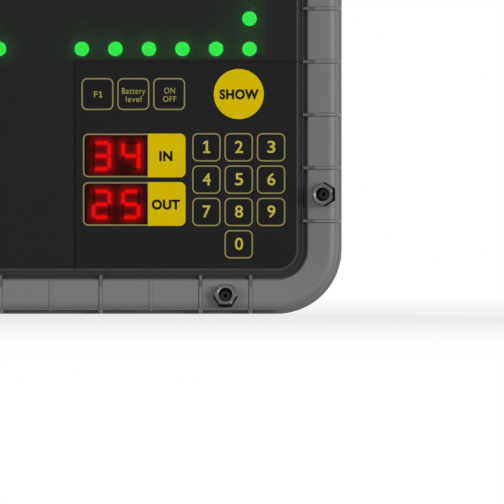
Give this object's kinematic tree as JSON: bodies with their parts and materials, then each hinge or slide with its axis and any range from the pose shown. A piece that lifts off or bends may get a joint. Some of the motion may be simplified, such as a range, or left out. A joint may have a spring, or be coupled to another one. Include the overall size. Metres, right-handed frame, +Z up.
{
  "type": "substitution board",
  "caption": "Upright electronic board with a ribbed grey case, a black display face, a key field with two small readouts, and hand grips on the back.",
  "frame": {"origin": "middle of the flat lower edge of the parting lip, which the board stands on", "axes": "+X to the right as one faces the display, +Y from the display to the back, +Z up"},
  "size_m": [0.7842, 0.1095, 0.46],
  "materials": {
    "rim": "satin grey moulded case",
    "gasket": "matt black sealing strip",
    "panel": "smooth black smoked sheet",
    "show_key": "satin yellow print",
    "red_lens": "clear red filter",
    "readout_body": "dark segment block",
    "circuit": "green solder mask",
    "battery": "shrink-wrapped cells",
    "lid": "dark grey moulding",
    "knob": "black moulding",
    "grip": "black soft grip",
    "steel": "plain steel",
    "nut": "zinc-plated steel"
  },
  "bodies": {
    "case": {"front_rim": "rim", "rear_shell": "rim", "battery_box": "rim", "panel_gasket": "gasket", "front_panel": "panel", "control_plate": "panel", "readout_in_lens": "red_lens", "readout_out_lens": "red_lens", "readout_in_module": "readout_body", "readout_out_module": "readout_body", "keypad_board": "circuit", "display_board_right": "circuit", "display_board_left": "circuit", "main_board": "circuit", "battery_pack": "battery", "door_hinge_bracket": "lid", "charge_socket": "knob", "grip_left": "grip", "grip_right": "grip", "grip_screw_1": "steel", "grip_screw_2": "steel", "grip_screw_3": "steel", "grip_screw_4": "steel", "stud_1": "steel", "stud_2": "steel", "stud_3": "steel", "stud_4": "steel", "stud_5": "steel", "stud_6": "steel", "stud_7": "steel", "stud_8": "steel", "stud_9": "steel", "stud_10": "steel", "lock_nut_1": "nut", "lock_nut_2": "nut", "lock_nut_3": "nut", "lock_nut_4": "nut", "lock_nut_5": "nut", "lock_nut_6": "nut", "lock_nut_7": "nut", "lock_nut_8": "nut", "lock_nut_9": "nut", "lock_nut_10": "nut"},
    "key_f1": {"key_f1": "panel"},
    "key_battery": {"key_battery": "panel"},
    "key_power": {"key_power": "panel"},
    "key_show": {"key_show": "show_key"},
    "key_1": {"key_1": "panel"},
    "key_2": {"key_2": "panel"},
    "key_3": {"key_3": "panel"},
    "key_4": {"key_4": "panel"},
    "key_5": {"key_5": "panel"},
    "key_6": {"key_6": "panel"},
    "key_7": {"key_7": "panel"},
    "key_8": {"key_8": "panel"},
    "key_9": {"key_9": "panel"},
    "key_0": {"key_0": "panel"},
    "battery_door": {"battery_door": "lid"},
    "door_knob": {"door_knob": "knob"},
    "socket_cap": {"socket_cap": "lid"}
  },
  "joints": [
    {"name": "key_f1_press", "type": "slide", "parent": "case", "child": "key_f1", "axis": [0, 1, 0], "range_m": [0, 0.0004], "stiffness_N_per_m": 1500},
    {"name": "key_battery_press", "type": "slide", "parent": "case", "child": "key_battery", "axis": [0, 1, 0], "range_m": [0, 0.0004], "stiffness_N_per_m": 1500},
    {"name": "key_power_press", "type": "slide", "parent": "case", "child": "key_power", "axis": [0, 1, 0], "range_m": [0, 0.0004], "stiffness_N_per_m": 1500},
    {"name": "key_show_press", "type": "slide", "parent": "case", "child": "key_show", "axis": [0, 1, 0], "range_m": [0, 0.0004], "stiffness_N_per_m": 1500},
    {"name": "key_1_press", "type": "slide", "parent": "case", "child": "key_1", "axis": [0, 1, 0], "range_m": [0, 0.0004], "stiffness_N_per_m": 1500},
    {"name": "key_2_press", "type": "slide", "parent": "case", "child": "key_2", "axis": [0, 1, 0], "range_m": [0, 0.0004], "stiffness_N_per_m": 1500},
    {"name": "key_3_press", "type": "slide", "parent": "case", "child": "key_3", "axis": [0, 1, 0], "range_m": [0, 0.0004], "stiffness_N_per_m": 1500},
    {"name": "key_4_press", "type": "slide", "parent": "case", "child": "key_4", "axis": [0, 1, 0], "range_m": [0, 0.0004], "stiffness_N_per_m": 1500},
    {"name": "key_5_press", "type": "slide", "parent": "case", "child": "key_5", "axis": [0, 1, 0], "range_m": [0, 0.0004], "stiffness_N_per_m": 1500},
    {"name": "key_6_press", "type": "slide", "parent": "case", "child": "key_6", "axis": [0, 1, 0], "range_m": [0, 0.0004], "stiffness_N_per_m": 1500},
    {"name": "key_7_press", "type": "slide", "parent": "case", "child": "key_7", "axis": [0, 1, 0], "range_m": [0, 0.0004], "stiffness_N_per_m": 1500},
    {"name": "key_8_press", "type": "slide", "parent": "case", "child": "key_8", "axis": [0, 1, 0], "range_m": [0, 0.0004], "stiffness_N_per_m": 1500},
    {"name": "key_9_press", "type": "slide", "parent": "case", "child": "key_9", "axis": [0, 1, 0], "range_m": [0, 0.0004], "stiffness_N_per_m": 1500},
    {"name": "key_0_press", "type": "slide", "parent": "case", "child": "key_0", "axis": [0, 1, 0], "range_m": [0, 0.0004], "stiffness_N_per_m": 1500},
    {"name": "battery_door_hinge", "type": "hinge", "parent": "case", "child": "battery_door", "pos_m": [0, 0.0355, 0.1286], "axis": [1, 0, 0], "range_deg": [0, 110]},
    {"name": "door_knob_turn", "type": "hinge", "parent": "battery_door", "child": "door_knob", "pos_m": [0, 0.036, 0.0394], "axis": [0, 1, 0], "range_deg": [0, 90]},
    {"name": "socket_cap_hinge", "type": "hinge", "parent": "case", "child": "socket_cap", "pos_m": [0.15, 0.0365, 0.088], "axis": [1, 0, 0], "range_deg": [0, 120]}
  ]
}
